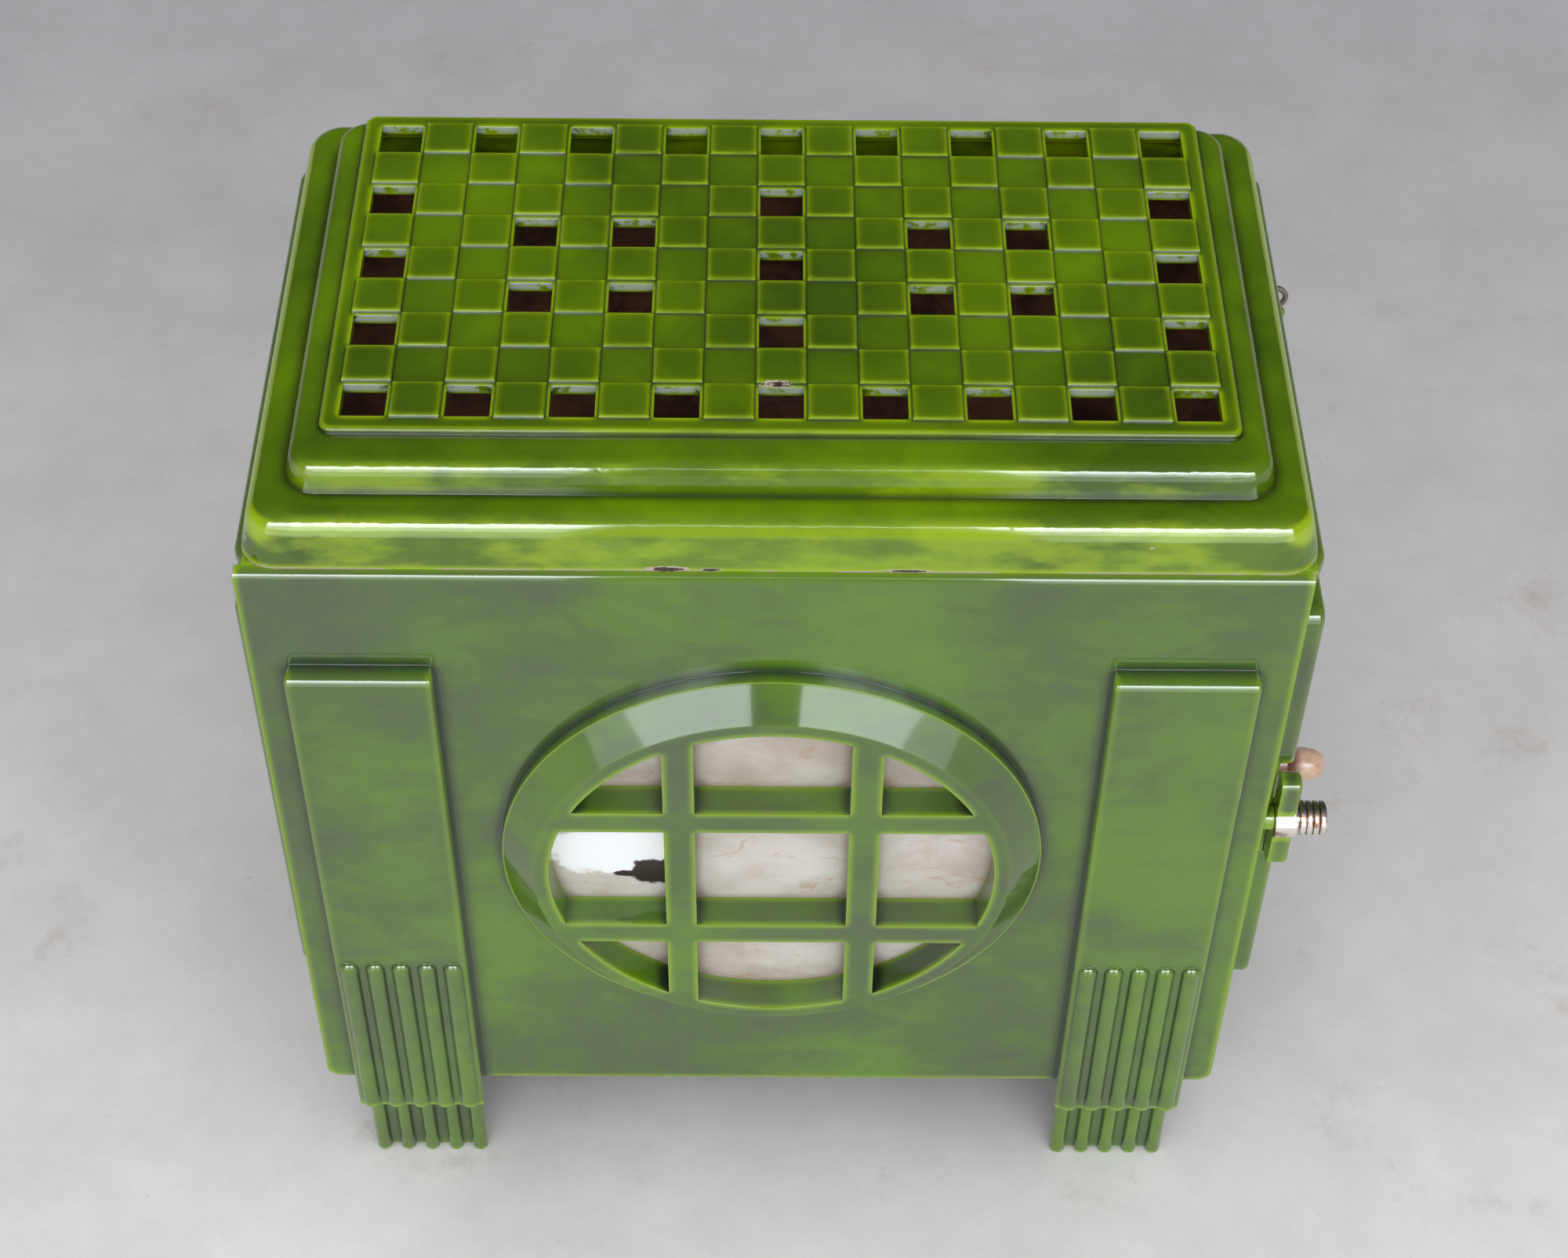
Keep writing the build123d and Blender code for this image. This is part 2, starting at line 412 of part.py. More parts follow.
leaf -= rod_x(SIDE_X - 5, SIDE_X + 30, AIR_Y, AIR_Z, 4.0 + RUN)
shield_pins = [(y, z) for y in (OPEN_Y0 + 28.0, OPEN_Y1 - 28.0) for z in (OPEN_Z1 - 43.0, SHIELD_Z0 + 18.0)]
for y, z in shield_pins:
    leaf -= rod_x(IN_X - 1, IN_X + 8, y, z, 2.55)
save(leaf, "loading_door")
save(extrude(side_plan(OPEN_Y0 - 10, OPEN_Y1 + 10, OPEN_Z0 - 12, OPEN_Z1 + 12, 8, IN_X), SEAL_T)
     - extrude(side_plan(OPEN_Y0 - 4, OPEN_Y1 + 4, OPEN_Z0 - 6, OPEN_Z1 + 6, 6, IN_X - 1), 8), "door_rope_seal")
shield = extrude(side_plan(OPEN_Y0 + 8, OPEN_Y1 - 8, SHIELD_Z0, OPEN_Z1 - 8, 8, IN_X - 2.5), 2.5)
for y, z in shield_pins:
    shield -= rod_x(IN_X - 9, IN_X + 8, y, z, 2.6)
save(shield, "door_heat_shield")
save(Compound(children=[rod_x(IN_X - 2.5, IN_X + 7, y, z, 2.5) + rod_x(IN_X - 5.5, IN_X - 2.5, y, z, 5.0)
                        for y, z in shield_pins]), "shield_screws")

# Air regulator: slotted disc, spindle with a nut inside, knob
OUT_X = IN_X + DOOR_T
disc = rod_x(OUT_X + 0.3, OUT_X + 4.3, AIR_Y, AIR_Z, AIR_R)
disc = fillet(disc.faces().sort_by(Axis.X)[-1].edges(), 1.5)
disc = disc.cut(*slot_tool)
disc -= rod_x(OUT_X - 5, OUT_X + 12, AIR_Y, AIR_Z, 4.02)
save(disc, "air_disc")
spindle = rod_x(IN_X - 4, OUT_X + 26, AIR_Y, AIR_Z, 4.0) + rod_x(OUT_X + 4.3, OUT_X + 8, AIR_Y, AIR_Z, 8.0)
save(spindle, "air_spindle")
air_nut = extrude(Plane(origin=(IN_X - 3.8, AIR_Y, AIR_Z), z_dir=(1, 0, 0)) * RegularPolygon(6.5, 6, major_radius=False), 3.5)
air_nut -= rod_x(IN_X - 9, IN_X + 3, AIR_Y, AIR_Z, 4.02)
save(air_nut, "air_nut")


def turned_knob(x0, y, z, long, r, neck, bore_r, bore_long):
    profile = make_face([
        Polyline((0, 0), (neck, 0), (neck, long * 0.25)).edges(),
        ThreePointArc((neck, long * 0.25), (r, long * 0.62), (r * 0.55, long * 0.97)).edge(),
        Polyline((r * 0.55, long * 0.97), (0, long), (0, 0)).edges()])
    solid = revolve(profile, Axis.Y)
    solid = Rot(0, 0, -90) * solid
    solid = Pos(x0, y, z) * solid
    if bore_long:
        solid -= rod_x(x0 - 1, x0 + bore_long, y, z, bore_r)
    return solid


save(turned_knob(OUT_X + 22, AIR_Y, AIR_Z, 32, 10.5, 7.0, 4.02, 4.0), "air_knob")

# Latch: an enamelled turn-button on a stud in the side plate, with a metal hub and a coiled nickel grip
X0, X1 = LAND_X + 0.3, LAND_X + LATCH_T
bar = extrude(side_plan(LATCH_Y - LATCH_WIDE / 2, LATCH_Y + LATCH_WIDE / 2, LATCH_Z - LATCH_LONG / 2,
                        LATCH_Z + LATCH_LONG / 2, 5, X0), X1 - X0)
bar = fillet(bar.faces().sort_by(Axis.X)[-1].edges(), 2.5)
bar -= rod_x(X0 - 2, X1 + 2, LATCH_Y, LATCH_Z, HUB_R + 0.02)
upper = bar & box(X0 - 10, X1 + 10, LATCH_Y - 30, LATCH_Y + 30, LATCH_Z, LATCH_Z + LATCH_LONG)
lower = bar & box(X0 - 10, X1 + 10, LATCH_Y - 30, LATCH_Y + 30, LATCH_Z - LATCH_LONG, LATCH_Z)
hub = rod_x(X0, X1 + 1.5, LATCH_Y, LATCH_Z, HUB_R)
hub = chamfer(hub.faces().sort_by(Axis.X)[-1].edges(), 1.5)
hub -= rod_x(X0 - 2, X1 - 1.5, LATCH_Y, LATCH_Z, 3.0 + RUN)
save(Compound(children=[upper.solids()[0], lower.solids()[0]]), "latch_arms")
save(hub, "latch_hub")
save(rod_x(SI_X - 4, X1 - 2.0, LATCH_Y, LATCH_Z, 3.0), "latch_stud")
latch_nut = extrude(Plane(origin=(SI_X - 4, LATCH_Y + 0.0, LATCH_Z), z_dir=(1, 0, 0)) * Circle(4.6), 4)
latch_nut -= rod_x(SI_X - 9, SI_X + 3, LATCH_Y, LATCH_Z, 3.02)
save(latch_nut, "latch_stud_nut")
coil = rod_x(X1 + 1.5, X1 + 18.0, LATCH_Y, LATCH_Z, 7.4)
for i in range(4):
    coil += Pos(X1 + 4.4 + i * 3.8, LATCH_Y, LATCH_Z) * Rot(0, 90, 0) * Torus(8.0, 2.2)
save(coil, "latch_knob")

# Ash drawer
front_d = extrude(side_plan(-DRAW_Y, DRAW_Y, DRAW_Z0, DRAW_Z1, 8, IN_X), 7)
front_d = fillet(front_d.faces().sort_by(Axis.X)[-1].edges(), 3)
front_d -= rod_x(IN_X - 2, IN_X + 9, 0, ASH_KNOB_Z, 2.52)
save(front_d, "ash_drawer_front")
PAN_Z = BASE_Z1 + 3
pan = box(PAN_X0, IN_X, -PAN_Y, PAN_Y, PAN_Z, PAN_TOP) - box(PAN_X0 + 2, IN_X - 2, -PAN_Y + 2, PAN_Y - 2, PAN_Z + 2, 200)
pan -= rod_x(IN_X - 5, IN_X + 5, 0, ASH_KNOB_Z, 2.52)
save(pan, "ash_pan")
save(turned_knob(IN_X + 7, 0, ASH_KNOB_Z, 20, 9.5, 5.5, 2.52, 8.0), "ash_knob")
save(rod_x(IN_X - 2, IN_X + 14.9, 0, ASH_KNOB_Z, 2.5) + rod_x(IN_X - 5, IN_X - 2, 0, ASH_KNOB_Z, 4.5), "ash_knob_screw")
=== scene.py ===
import bpy
import json
import math
from mathutils import Matrix, Vector

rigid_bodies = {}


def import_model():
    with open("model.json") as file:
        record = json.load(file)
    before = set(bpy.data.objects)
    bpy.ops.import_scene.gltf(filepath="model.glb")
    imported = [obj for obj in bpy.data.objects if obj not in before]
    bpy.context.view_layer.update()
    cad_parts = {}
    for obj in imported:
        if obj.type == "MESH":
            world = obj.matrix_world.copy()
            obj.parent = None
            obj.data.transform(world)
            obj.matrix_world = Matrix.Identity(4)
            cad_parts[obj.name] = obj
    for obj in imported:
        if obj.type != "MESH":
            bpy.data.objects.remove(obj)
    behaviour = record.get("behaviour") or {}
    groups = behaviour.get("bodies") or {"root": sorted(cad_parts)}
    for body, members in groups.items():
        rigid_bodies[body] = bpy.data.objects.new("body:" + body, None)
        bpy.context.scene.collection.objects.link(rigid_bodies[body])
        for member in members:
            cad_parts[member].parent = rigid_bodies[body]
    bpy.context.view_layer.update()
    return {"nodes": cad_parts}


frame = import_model()
bpy.ops.object.select_all(action="DESELECT")

# The colour sockets of a Mix node, and how finely creases and soft edges are looked for
MIX_UNDER, MIX_OVER, MIX_RESULT = 6, 7, 2
EDGE_SAMPLES, SMOKE_SAMPLES = 6, 8


def shade(red, green, blue):
    """A screen colour, 0 to 255, as the linear colour that a shader takes."""
    def linear(value):
        value /= 255
        return value / 12.92 if value <= 0.04045 else ((value + 0.055) / 1.055) ** 2.4
    return (linear(red), linear(green), linear(blue), 1)


class Finish:
    """One material's node tree. Each method adds nodes and gives back the last one's output."""

    SOCKETS = {
        "base": "Base Color", "rough": "Roughness", "metal": "Metallic", "normal": "Normal",
        "ior": "IOR", "level": "Specular IOR Level", "coat": "Coat Weight",
        "coat_rough": "Coat Roughness", "coat_ior": "Coat IOR", "glow": "Emission Color",
        "glow_level": "Emission Strength",
    }

    def __init__(self, name):
        self.material = bpy.data.materials.new(name)
        self.material.use_nodes = True
        self.tree = self.material.node_tree
        self.tree.nodes.clear()
        self.place = self.tree.nodes.new("ShaderNodeTexCoord").outputs["Object"]
        self.x, self.y, self.z = self.split(self.place)

    def feed(self, socket, value):
        if isinstance(value, bpy.types.NodeSocket):
            self.tree.links.new(value, socket)
        elif value is not None:
            socket.default_value = value

    def split(self, vector):
        node = self.tree.nodes.new("ShaderNodeSeparateXYZ")
        self.feed(node.inputs[0], vector)
        return node.outputs

    def calc(self, how, first, second=None, third=None):
        node = self.tree.nodes.new("ShaderNodeMath")
        node.operation = how
        for socket, value in zip(node.inputs, (first, second, third)):
            self.feed(socket, value)
        return node.outputs[0]

    def times(self, first, *others):
        for other in others:
            first = self.calc("MULTIPLY", first, other)
        return first

    def cloud(self, scale, detail=4.0, rough=0.55, shift=0.0, stretch=(1, 1, 1), swirl=0.0):
        """Noise in the object's own place; shift picks another part of it."""
        turn = self.tree.nodes.new("ShaderNodeMapping")
        turn.inputs["Location"].default_value = (shift, shift * 1.7, shift * 0.6)
        turn.inputs["Scale"].default_value = stretch
        self.feed(turn.inputs["Vector"], self.place)
        node = self.tree.nodes.new("ShaderNodeTexNoise")
        self.feed(node.inputs["Vector"], turn.outputs[0])
        node.inputs["Scale"].default_value = scale
        node.inputs["Detail"].default_value = detail
        node.inputs["Roughness"].default_value = rough
        node.inputs["Distortion"].default_value = swirl
        return node.outputs["Fac"]

    def ramp(self, value, *stops):
        node = self.tree.nodes.new("ShaderNodeValToRGB")
        marks = node.color_ramp.elements
        while len(marks) < len(stops):
            marks.new(0.5)
        for mark, (at, colour) in zip(marks, stops):
            mark.position = at
            mark.color = colour if isinstance(colour, tuple) else (colour, colour, colour, 1)
        self.feed(node.inputs[0], value)
        return node.outputs[0]

    def step(self, value, low, high):
        """0 below low, 1 above high, smooth between; low may be above high."""
        node = self.tree.nodes.new("ShaderNodeMapRange")
        node.interpolation_type = "SMOOTHSTEP"
        self.feed(node.inputs["Value"], value)
        node.inputs["From Min"].default_value = min(low, high)
        node.inputs["From Max"].default_value = max(low, high)
        node.inputs["To Min"].default_value = 0.0 if low < high else 1.0
        node.inputs["To Max"].default_value = 1.0 if low < high else 0.0
        return node.outputs["Result"]

    def blend(self, amount, under, over, how="MIX"):
        node = self.tree.nodes.new("ShaderNodeMix")
        node.data_type = "RGBA"
        node.blend_type = how
        self.feed(node.inputs[0], amount)
        self.feed(node.inputs[MIX_UNDER], under)
        self.feed(node.inputs[MIX_OVER], over)
        return node.outputs[MIX_RESULT]

    def enclosed(self, reach, inside=False, only_itself=True, samples=EDGE_SAMPLES):
        """How shut in a point is: 0 in the open, towards 1 in a crease, or at an edge when
        inside."""
        node = self.tree.nodes.new("ShaderNodeAmbientOcclusion")
        node.samples = samples
        node.inside = inside
        node.only_local = only_itself
        node.inputs["Distance"].default_value = reach
        return self.calc("SUBTRACT", 1.0, node.outputs["AO"])

    def spot(self, centre, radii, ragged=0.45, grain=160.0):
        """A ragged patch about a point: 1 inside, 0 outside."""
        total = None
        for axis, middle, radius in zip((self.x, self.y, self.z), centre, radii):
            off = self.calc("DIVIDE", self.calc("SUBTRACT", axis, middle), radius)
            square = self.times(off, off)
            total = square if total is None else self.calc("ADD", total, square)
        tears = self.cloud(grain, 5, 0.65, centre[0] * 9)
        edge = self.calc("MULTIPLY_ADD", tears, 2 * ragged, 1.0 - ragged)
        return self.step(self.times(self.calc("SQRT", total), edge), 1.05, 0.85)

    def dent(self, height, strength, depth, under=None):
        node = self.tree.nodes.new("ShaderNodeBump")
        node.inputs["Strength"].default_value = strength
        node.inputs["Distance"].default_value = depth
        self.feed(node.inputs["Height"], height)
        self.feed(node.inputs["Normal"], under)
        return node.outputs[0]

    def soft_edge(self, radius):
        node = self.tree.nodes.new("ShaderNodeBevel")
        node.samples = EDGE_SAMPLES
        node.inputs["Radius"].default_value = radius
        return node.outputs[0]

    def finish(self, **sockets):
        shader = self.tree.nodes.new("ShaderNodeBsdfPrincipled")
        for key, value in sockets.items():
            self.feed(shader.inputs[self.SOCKETS[key]], value)
        result = self.tree.nodes.new("ShaderNodeOutputMaterial")
        self.tree.links.new(shader.outputs[0], result.inputs[0])
        return self.material


# Colours of the enamel: each run has a light, a middle and a dark tone
BODY_TONES = shade(92, 132, 24), shade(82, 108, 46), shade(74, 92, 60)
LID_TONES = shade(108, 142, 2), shade(88, 118, 4), shade(66, 94, 8)
# The two crease colours are painted shade, laid dark in the creases
BODY_EDGE, BODY_CREASE_SHADE = shade(140, 176, 22), shade(34, 46, 40)
LID_EDGE, LID_CREASE_SHADE = shade(160, 190, 4), shade(14, 24, 18)
# The low-cell colour is painted shade for the sunken cells of the grid
LOW_CELL, HIGH_CELL = shade(64, 88, 2), shade(56, 80, 2)
# The thin-run colour is bright enamel runs, and also painted light on the faces turned to the
# light
THIN_RUN_AND_LIGHT, PALE_WALL, PALE_SPECK = shade(150, 182, 0), shade(196, 210, 204), shade(190, 200, 150)
# The worn-metal colour is bare metal where the enamel is worn, and also a painted highlight along
# the front plate's left edge
WORN_METAL_AND_HIGHLIGHT, BURNT = shade(188, 174, 160), shade(58, 40, 30)

# Places on the enamel, in metres: each pair is where a soft step starts and ends
MIDDLE_TONE = 0.495
FRONT_MIDDLE_X = -0.003
FRONT_EDGE_OFF, FRONT_EDGE_Y = (0.2776, 0.2784), (-0.1725, -0.1721)
LOW_CELL_FLOOR, LOW_CELL_CEILING = (0.6000, 0.6008), (0.6022, 0.6014)
HIGH_CELL_FLOOR = (0.6024, 0.6032)
HOLE_WALL_FLOOR, HOLE_WALL_CEILING = (0.5955, 0.5975), (0.6012, 0.6006)
HOLES_START_Y = (-0.114, -0.112)
LID_FOOT = (0.5494, 0.5486)

# Chips in the lid's enamel: centre and radii
CHIPS = (
    ((-0.058, -0.1685, 0.5495), (0.012, 0.02, 0.0018)),
    ((-0.036, -0.1685, 0.5492), (0.006, 0.02, 0.0012)),
    ((0.066, -0.1685, 0.5492), (0.014, 0.02, 0.0010)),
    ((-0.2785, -0.160, 0.5600), (0.004, 0.010, 0.005)),
    ((-0.002, -0.0850, 0.6030), (0.010, 0.0020, 0.004)),
    ((0.1900, -0.1685, 0.5650), (0.0015, 0.004, 0.0012)),
)
CHIP_CORE = 0.7


def marbled(paint, tones, spread):
    """Enamel run thick and thin over the casting."""
    light, middle, dark = tones
    pools = paint.times(paint.cloud(6.5, 2, 0.5, 0.3, swirl=0.3), 0.62)
    drift = paint.times(paint.cloud(19.0, 4, 0.6, 2.3, (1, 1, 1.8), 0.6), 0.28)
    grain = paint.times(paint.cloud(60.0, 4, 0.6, 1.1), 0.1)
    mixed = paint.calc("ADD", paint.calc("ADD", pools, drift), grain)
    return paint.ramp(mixed, (MIDDLE_TONE - spread, dark), (MIDDLE_TONE, middle),
                      (MIDDLE_TONE + spread, light))


def add_edges(paint, colour, edge, crease, edge_reach=0.005, crease_reach=0.009):
    """Thinner, brighter enamel on the edges, and painted shade as a dark line in the creases."""
    proud = paint.step(paint.enclosed(edge_reach, inside=True), 0.08, 0.50)
    colour = paint.blend(proud, colour, edge)
    # painted shade: the creases are darkened where the surface is shut in
    crease_shade = paint.times(paint.step(paint.enclosed(crease_reach), 0.06, 0.46), 0.9)
    return paint.blend(crease_shade, colour, crease)


def pinholes(paint, colour):
    specks = paint.step(paint.cloud(420.0, 2, 0.5, 6.0), 0.80, 0.86)
    return paint.blend(paint.times(specks, 0.5), colour, PALE_SPECK)


def glaze(paint, colour):
    """The glassy top of the enamel, with its slow ripple and rounded edges."""
    ripple = paint.dent(paint.cloud(38.0, 2, 0.5, 5.0), 0.05, 0.001, paint.soft_edge(0.0013))
    return paint.finish(base=colour, rough=0.085, normal=ripple, ior=1.52, coat=0.3,
                        coat_rough=0.03, coat_ior=1.5)


def body_enamel(name, worn_and_highlit_lines=()):
    paint = Finish(name)
    colour = marbled(paint, BODY_TONES, 0.12)
    colour = add_edges(paint, colour, BODY_EDGE, BODY_CREASE_SHADE)
    colour = pinholes(paint, colour)
    # edge lines in the worn-metal colour: wear on the right edge, a painted highlight on the left
    # edge
    for line in worn_and_highlit_lines:
        colour = paint.blend(line(paint), colour, WORN_METAL_AND_HIGHLIGHT)
    return glaze(paint, colour)


def worn_and_highlit_edges(paint):
    """The pale lines along the vertical edges of the front plate: wear on the right edge, a
    painted highlight on the left edge.
    """
    off = paint.calc("ABSOLUTE", paint.calc("SUBTRACT", paint.x, FRONT_MIDDLE_X))
    return paint.times(paint.step(off, *FRONT_EDGE_OFF), paint.step(paint.y, *FRONT_EDGE_Y),
                       paint.step(paint.cloud(30.0, 4, 0.6, 3.0), 0.42, 0.50))


def lid_enamel():
    paint = Finish("lid_enamel")
    surface = paint.tree.nodes.new("ShaderNodeNewGeometry")
    facing_back = paint.split(surface.outputs["Normal"])[1]
    colour = marbled(paint, LID_TONES, 0.13)

    # the checkered grid: every second cell is lower; the lower cells get a little painted shade,
    # and the raised cells are painted a darker green
    low = paint.times(paint.step(paint.z, *LOW_CELL_FLOOR), paint.step(paint.z, *LOW_CELL_CEILING))
    colour = paint.blend(paint.times(low, 0.15), colour, LOW_CELL)
    high = paint.step(paint.z, *HIGH_CELL_FLOOR)
    colour = paint.blend(paint.times(high, 0.4), colour, HIGH_CELL)

    # thin bright runs on the upright front faces, partly real runs and partly painted light, as
    # only the faces turned to the light get them
    run = paint.times(paint.step(facing_back, -0.3, -0.8),
                      paint.step(paint.cloud(14.0, 4, 0.6, 8.0, (1, 1, 2.5)), 0.42, 0.62))
    colour = paint.blend(paint.times(run, 0.7), colour, THIN_RUN_AND_LIGHT)
    colour = add_edges(paint, colour, LID_EDGE, LID_CREASE_SHADE, 0.0045, 0.0075)
    colour = pinholes(paint, colour)

    # the far walls of the holes, where the enamel is thin and pale
    wall = paint.times(paint.step(facing_back, -0.7, -0.9), paint.step(paint.y, *HOLES_START_Y),
                       paint.step(paint.z, *HOLE_WALL_FLOOR),
                       paint.step(paint.z, *HOLE_WALL_CEILING),
                       paint.step(paint.cloud(120.0, 4, 0.65, 1.5), 0.38, 0.52))
    colour = paint.blend(paint.times(wall, 0.75), colour, PALE_WALL)

    # the lid's foot, worn by its seat, and the chips
    worn = paint.times(paint.step(paint.z, *LID_FOOT),
                       paint.step(paint.cloud(24.0, 5, 0.6, 4.0), 0.40, 0.52))
    colour = paint.blend(worn, colour, WORN_METAL_AND_HIGHLIGHT)
    for centre, radii in CHIPS:
        colour = paint.blend(paint.spot(centre, radii, 0.7, 300.0), colour, WORN_METAL_AND_HIGHLIGHT)
        core = tuple(radius * CHIP_CORE for radius in radii)
        colour = paint.blend(paint.spot(centre, core, 0.9, 420.0), colour, BURNT)
    return glaze(paint, colour)


def bare_iron(name, dark, rust, rough=0.7):
    iron = Finish(name)
    colour = iron.ramp(iron.cloud(26.0, 6, 0.65, 3.0), (0.36, dark), (0.62, rust))
    speck = iron.step(iron.cloud(150.0, 3, 0.6, 8.0), 0.60, 0.70)
    colour = iron.blend(iron.times(speck, 0.4), colour, shade(30, 24, 20))
    normal = iron.dent(iron.cloud(190.0, 4, 0.6), 0.3, 0.0006, iron.soft_edge(0.0006))
    return iron.finish(base=colour, rough=rough, level=0.35, normal=normal)


def worn_nickel():
    plate = Finish("worn_nickel")
    tarnish = plate.step(plate.cloud(70.0, 5, 0.6, 4.0), 0.50, 0.64)
    colour = plate.blend(tarnish, shade(228, 222, 216), shade(150, 112, 92))
    # darker brown in the hollows of the plating
    hollow_darkening = plate.step(plate.enclosed(0.003), 0.15, 0.6)
    colour = plate.blend(hollow_darkening, colour, shade(70, 44, 34))
    rough = plate.calc("MULTIPLY_ADD", tarnish, 0.25, 0.16)
    scuffs = plate.dent(plate.cloud(220.0, 3), 0.1, 0.0004)
    return plate.finish(base=colour, metal=1.0, rough=rough, normal=scuffs)


def knob_red():
    """The air knob: a dark red-brown stem, and a pale pinkish head that is a painted highlight."""
    knob = Finish("air_knob_finish")
    # painted highlight: the outer end is painted pale pink
    head_highlight = knob.step(knob.x, 0.3245, 0.3300)
    colour = knob.blend(head_highlight, shade(112, 66, 52), shade(222, 184, 160))
    mottle = knob.step(knob.cloud(90.0, 4, 0.6, 2.0), 0.45, 0.65)
    colour = knob.blend(knob.times(mottle, 0.5), colour, shade(160, 112, 92))
    scuffs = knob.dent(knob.cloud(220.0, 3), 0.15, 0.0004)
    return knob.finish(base=colour, rough=0.3, level=0.6, normal=scuffs)


# The torn pane: its sides as soft steps, the hole, painted near white and glowing as painted
# light, and the burnt edge at its lower right corner
TORN_RIGHT, TORN_BOTTOM, TORN_TOP = (-0.056, -0.060), (0.286, 0.2885), (0.358, 0.354)
TORN_HOLE = ((-0.094, -0.1747, 0.325), (0.038, 0.05, 0.026), 0.45, 70.0)
BURNT_CORNER = ((-0.072, -0.1747, 0.3035), (0.013, 0.05, 0.012), 0.5, 120.0)
BURNT_TAIL = ((-0.085, -0.1747, 0.3015), (0.010, 0.05, 0.0028), 0.5, 200.0)


def mica_sheets():
    sheet = Finish("clouded_mica")
    haze = sheet.cloud(16.0, 5, 0.6, 7.0, (1, 1, 1.6), 0.4)
    colour = sheet.ramp(haze, (0.34, shade(198, 184, 174)), (0.5, shade(216, 208, 200)),
                        (0.66, shade(228, 224, 219)))
    stain = sheet.step(sheet.cloud(34.0, 7, 0.7, 11.0, (1, 1, 2.2), 0.8), 0.56, 0.66)
    colour = sheet.blend(sheet.times(stain, 0.55), colour, shade(192, 146, 108))
    # darker where other parts shut the sheet in
    shut_in = sheet.enclosed(0.010, only_itself=False, samples=SMOKE_SAMPLES)
    darkening = sheet.times(sheet.step(shut_in, 0.22, 0.62), 0.75)
    colour = sheet.blend(darkening, colour, shade(122, 92, 78))
    # painted light: the hole in the torn pane is painted near white and made to glow, as if bright
    # light showed through it
    lit_tear = sheet.times(sheet.step(sheet.x, *TORN_RIGHT), sheet.step(sheet.z, *TORN_BOTTOM),
                       sheet.step(sheet.z, *TORN_TOP), sheet.spot(*TORN_HOLE))
    colour = sheet.blend(lit_tear, colour, shade(236, 239, 243))
    burnt = sheet.calc("MAXIMUM", sheet.spot(*BURNT_CORNER), sheet.spot(*BURNT_TAIL))
    colour = sheet.blend(burnt, colour, shade(44, 30, 26))
    creases = sheet.dent(sheet.cloud(28.0, 6, 0.6, 3.0, (1, 1, 2.0), 0.6), 0.25, 0.001)
    return sheet.finish(base=colour, rough=0.32, level=0.5, normal=creases, glow=colour,
                        glow_level=sheet.times(lit_tear, 0.25))


def fire_clay():
    clay = Finish("fire_clay")
    colour = clay.ramp(clay.cloud(22.0, 6, 0.65, 2.0), (0.35, shade(132, 106, 80)),
                       (0.65, shade(180, 154, 122)))
    darkening = clay.step(clay.z, 0.20, 0.36)
    colour = clay.blend(clay.times(darkening, 0.6), colour, shade(60, 52, 46))
    pores = clay.dent(clay.cloud(160.0, 5), 0.5, 0.001)
    return clay.finish(base=colour, rough=0.95, level=0.2, normal=pores)


ROPE_TWIST = 900.0


def glass_rope():
    rope = Finish("glass_rope")
    twist = rope.calc("SINE", rope.times(rope.calc("ADD", rope.y, rope.z), ROPE_TWIST))
    colour = rope.blend(rope.step(twist, -0.6, 0.6), shade(104, 98, 90), shade(176, 170, 160))
    return rope.finish(base=colour, rough=0.95, level=0.2, normal=rope.dent(twist, 0.6, 0.001))


# Which finish each piece has; what isn't named here is plain steel
finishes = {
    "lid": lid_enamel(),
    "front_plate": body_enamel("front_enamel", (worn_and_highlit_edges,)),
    "mica_window": mica_sheets(),
    "air_knob": knob_red(),
    "door_rope_seal": glass_rope(),
}
SHARED_FINISHES = (
    (body_enamel("green_enamel"), ("left_side_plate", "right_side_plate", "back_plate",
                                   "loading_door", "ash_drawer_front", "latch_arms")),
    (worn_nickel(), ("latch_hub", "latch_knob", "ash_knob")),
    (bare_iron("rusty_iron", shade(88, 56, 42), shade(156, 100, 76)),
     ("hotplate", "hotplate_cover", "baffle_plate", "tie_rods", "tie_rod_nuts",
      "lid_hinge_brackets")),
    (bare_iron("grey_iron", shade(52, 46, 42), shade(86, 74, 64)),
     ("flue_collar", "base_plate", "fire_bed_plate", "grate", "mica_retainer",
      "door_heat_shield", "air_disc")),
    (fire_clay(), ("liner_left", "liner_back")),
)
for finish, nodes in SHARED_FINISHES:
    for node in nodes:
        finishes[node] = finish
plain_steel = bare_iron("plain_steel", shade(92, 84, 78), shade(140, 130, 120), 0.42)

for thing in list(bpy.data.objects):
    node = thing.name.split(".")[0]
    if thing.type != "MESH" or node not in frame["nodes"]:
        continue
    finish = finishes.get(node, plain_steel)
    if not thing.material_slots:
        thing.data.materials.append(finish)
    for slot in thing.material_slots:
        slot.material = finish


# The floor: plain pale concrete, painted lighter towards the front as a painted fall-off of the
# light
FLOOR_SIZE = 80
FLOOR_NEAR, FLOOR_FAR = -0.7, 1.6


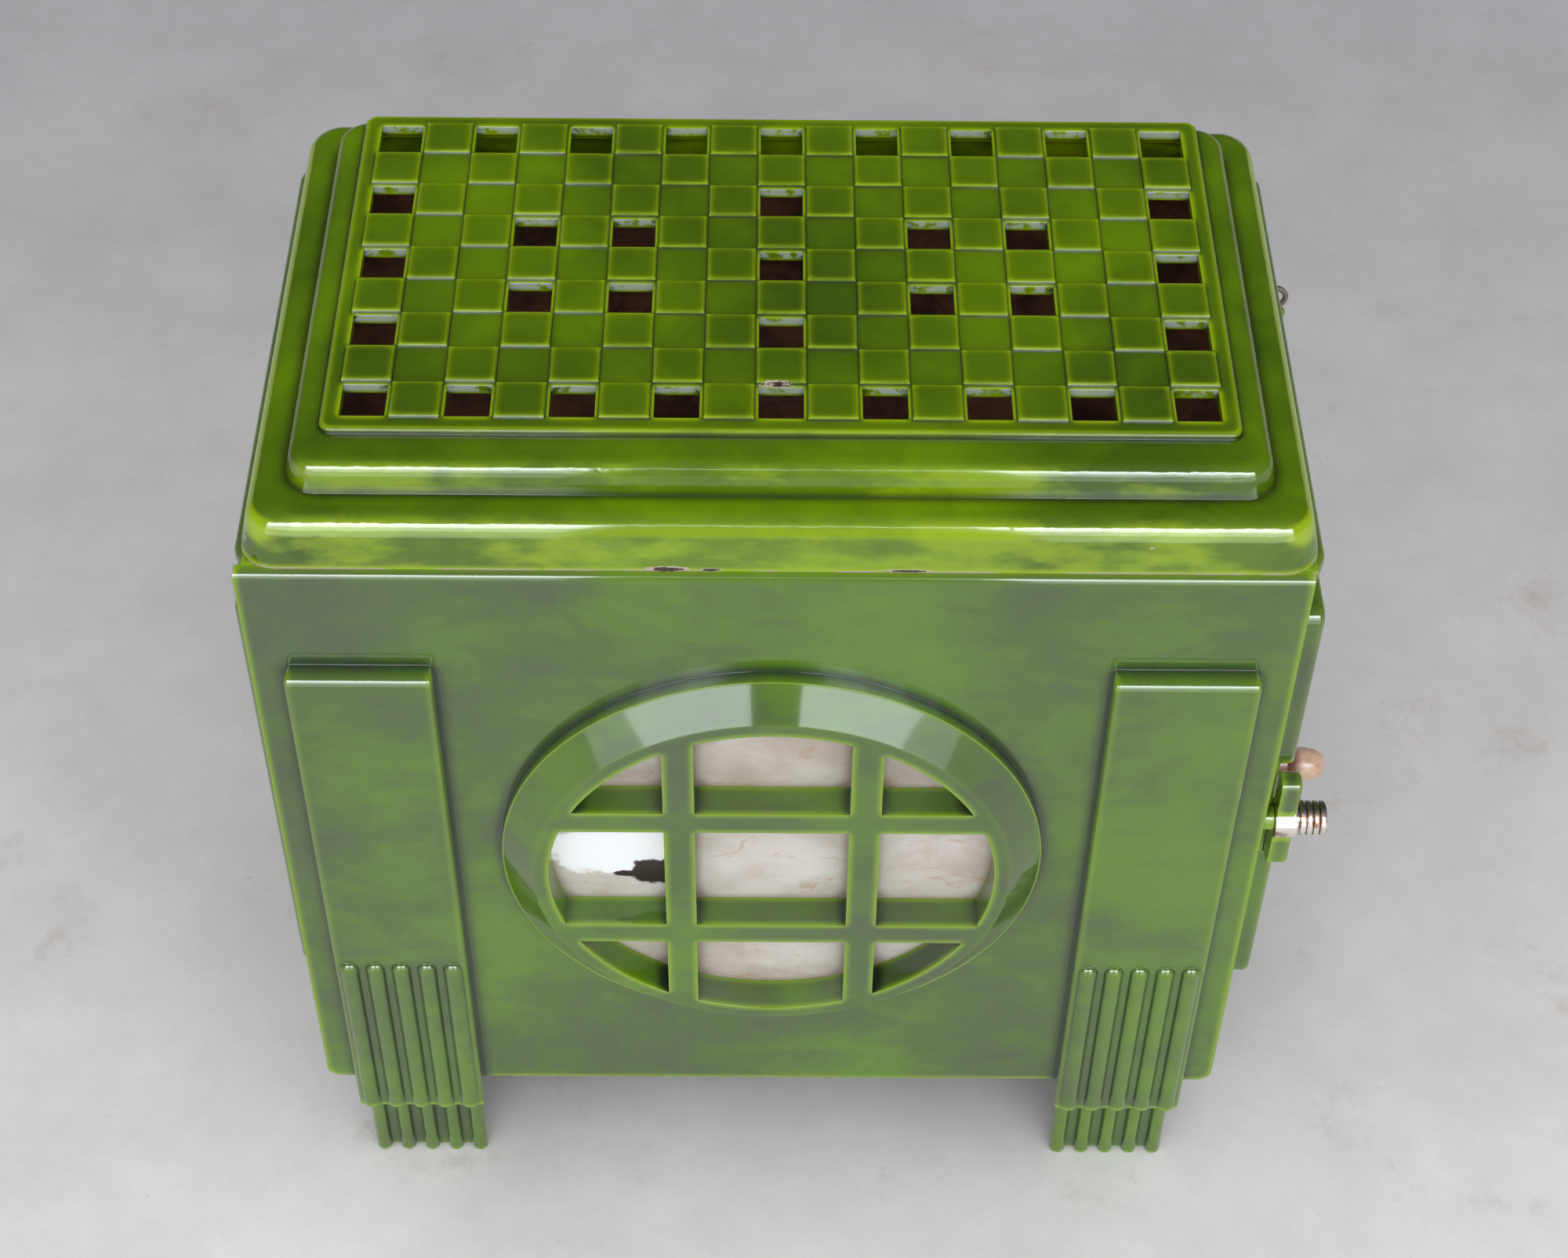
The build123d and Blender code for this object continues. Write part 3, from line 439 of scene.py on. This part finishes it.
def pale_floor():
    floor = Finish("pale_concrete")
    # painted light: brighter near the front, darker further back
    lit = floor.ramp(floor.step(floor.y, FLOOR_NEAR, FLOOR_FAR), (0.0, shade(252, 251, 252)),
                     (0.34, shade(212, 210, 210)), (0.70, shade(188, 186, 189)),
                     (1.0, shade(174, 172, 176)))
    mottle = floor.ramp(floor.cloud(9.0, 9, 0.74, 2.0), (0.36, 0.86), (0.64, 1.0))
    colour = floor.blend(0.8, lit, mottle, "MULTIPLY")
    stain = floor.step(floor.cloud(9.0, 7, 0.75, 14.0), 0.58, 0.74)
    colour = floor.blend(floor.times(stain, 0.30), colour, shade(158, 136, 120))
    pits = floor.step(floor.cloud(90.0, 3, 0.6, 9.0), 0.70, 0.76)
    colour = floor.blend(floor.times(pits, 0.25), colour, shade(140, 136, 132))
    grit = floor.dent(floor.cloud(120.0, 4), 0.1, 0.001)
    return floor.finish(base=colour, rough=0.75, level=0.3, normal=grit)


bpy.ops.mesh.primitive_plane_add(size=FLOOR_SIZE, location=(0, 0, 0))
ground = bpy.context.object
ground.name = "floor"
ground.data.materials.append(pale_floor())


# Light: two tall soft windows in front, seen only in reflections, and even light from two suns
def lamp(name, kind, place, aim, power, **settings):
    data = bpy.data.lights.new(name, kind)
    data.energy = power
    for key, value in settings.items():
        setattr(data, key, value)
    thing = bpy.data.objects.new(name, data)
    bpy.context.scene.collection.objects.link(thing)
    thing.location = place
    thing.rotation_euler = (Vector(aim) - Vector(place)).to_track_quat("-Z", "Y").to_euler()
    return thing


# Each band of window: its lower and upper edge in metres, and how bright it is
WINDOW_AWAY, WINDOW_SIDE = 2.0, 2.3
GAP_LEFT, GAP_RIGHT = -0.24, 0.30
BANDS = ((2.10, 2.40, 22.0), (1.55, 2.10, 13.0), (0.95, 1.55, 5.5), (0.05, 0.95, 2.0))
GAP_BAND = (2.32, 2.40, 14.0)
DAYLIGHT = (0.90, 0.96, 1.0)

panes = [(left, right_end, band) for band in BANDS for left, right_end in
         ((-WINDOW_SIDE, GAP_LEFT), (GAP_RIGHT, WINDOW_SIDE))]
panes.append((GAP_LEFT, GAP_RIGHT, GAP_BAND))
for left, right_end, (low, high, glow) in panes:
    across, tall = right_end - left, high - low
    middle_x, middle_z = (left + right_end) / 2, (low + high) / 2
    pane = lamp("window", "AREA", (middle_x, -WINDOW_AWAY, middle_z), (middle_x, 0, middle_z),
                glow * math.pi * across * tall, shape="RECTANGLE", size=across, size_y=tall,
                color=DAYLIGHT)
    pane.visible_diffuse = False
above = lamp("above", "SUN", (0, -0.6, 4), (0, 0, 0), 1.75, angle=math.radians(110))
ahead = lamp("ahead", "SUN", (0.3, -4, 2.4), (0, 0, 0), 0.95, angle=math.radians(70))
above.visible_glossy = ahead.visible_glossy = False

# The room: dim behind the stove, brighter in front of it
BEHIND, IN_FRONT = (0.35, 0.05), (-0.6, 0.34)
world = bpy.data.worlds.new("room")
bpy.context.scene.world = world
world.use_nodes = True
sky = world.node_tree
towards = sky.nodes.new("ShaderNodeTexCoord").outputs["Generated"]
axes = sky.nodes.new("ShaderNodeSeparateXYZ")
sky.links.new(towards, axes.inputs[0])
front_glow = sky.nodes.new("ShaderNodeMapRange")
front_glow.inputs["From Min"].default_value, front_glow.inputs["To Min"].default_value = BEHIND
front_glow.inputs["From Max"].default_value, front_glow.inputs["To Max"].default_value = IN_FRONT
sky.links.new(axes.outputs[1], front_glow.inputs["Value"])
backdrop = sky.nodes["Background"]
backdrop.inputs["Color"].default_value = (1.0, 1.0, 1.02, 1)
sky.links.new(front_glow.outputs[0], backdrop.inputs["Strength"])

# The camera, as worked out from the lid's grid in the photograph
CAMERA_PLACE = (-0.00736, -1.17515, 1.6127)
YAW, PITCH, ROLL = math.radians(0.5528), math.radians(47.7456), math.radians(0.777)
SENSOR_WIDTH, FOCAL_LENGTH = 36.0, 65.35

ahead_of_lens = Vector((math.cos(PITCH) * math.sin(YAW), math.cos(PITCH) * math.cos(YAW),
                        -math.sin(PITCH)))
level = Vector((math.cos(YAW), -math.sin(YAW), 0))
upright = level.cross(ahead_of_lens)
right = math.cos(ROLL) * level + math.sin(ROLL) * upright
up = -math.sin(ROLL) * level + math.cos(ROLL) * upright
lens = bpy.data.cameras.new("photo_camera")
lens.sensor_fit = "HORIZONTAL"
lens.sensor_width = SENSOR_WIDTH
lens.lens = FOCAL_LENGTH
camera = bpy.data.objects.new("photo_camera", lens)
bpy.context.scene.collection.objects.link(camera)
stand = Matrix((right, up, -ahead_of_lens)).transposed().to_4x4()
stand.translation = Vector(CAMERA_PLACE)
camera.matrix_world = stand
bpy.context.scene.camera = camera
bpy.context.scene.view_settings.view_transform = "Standard"
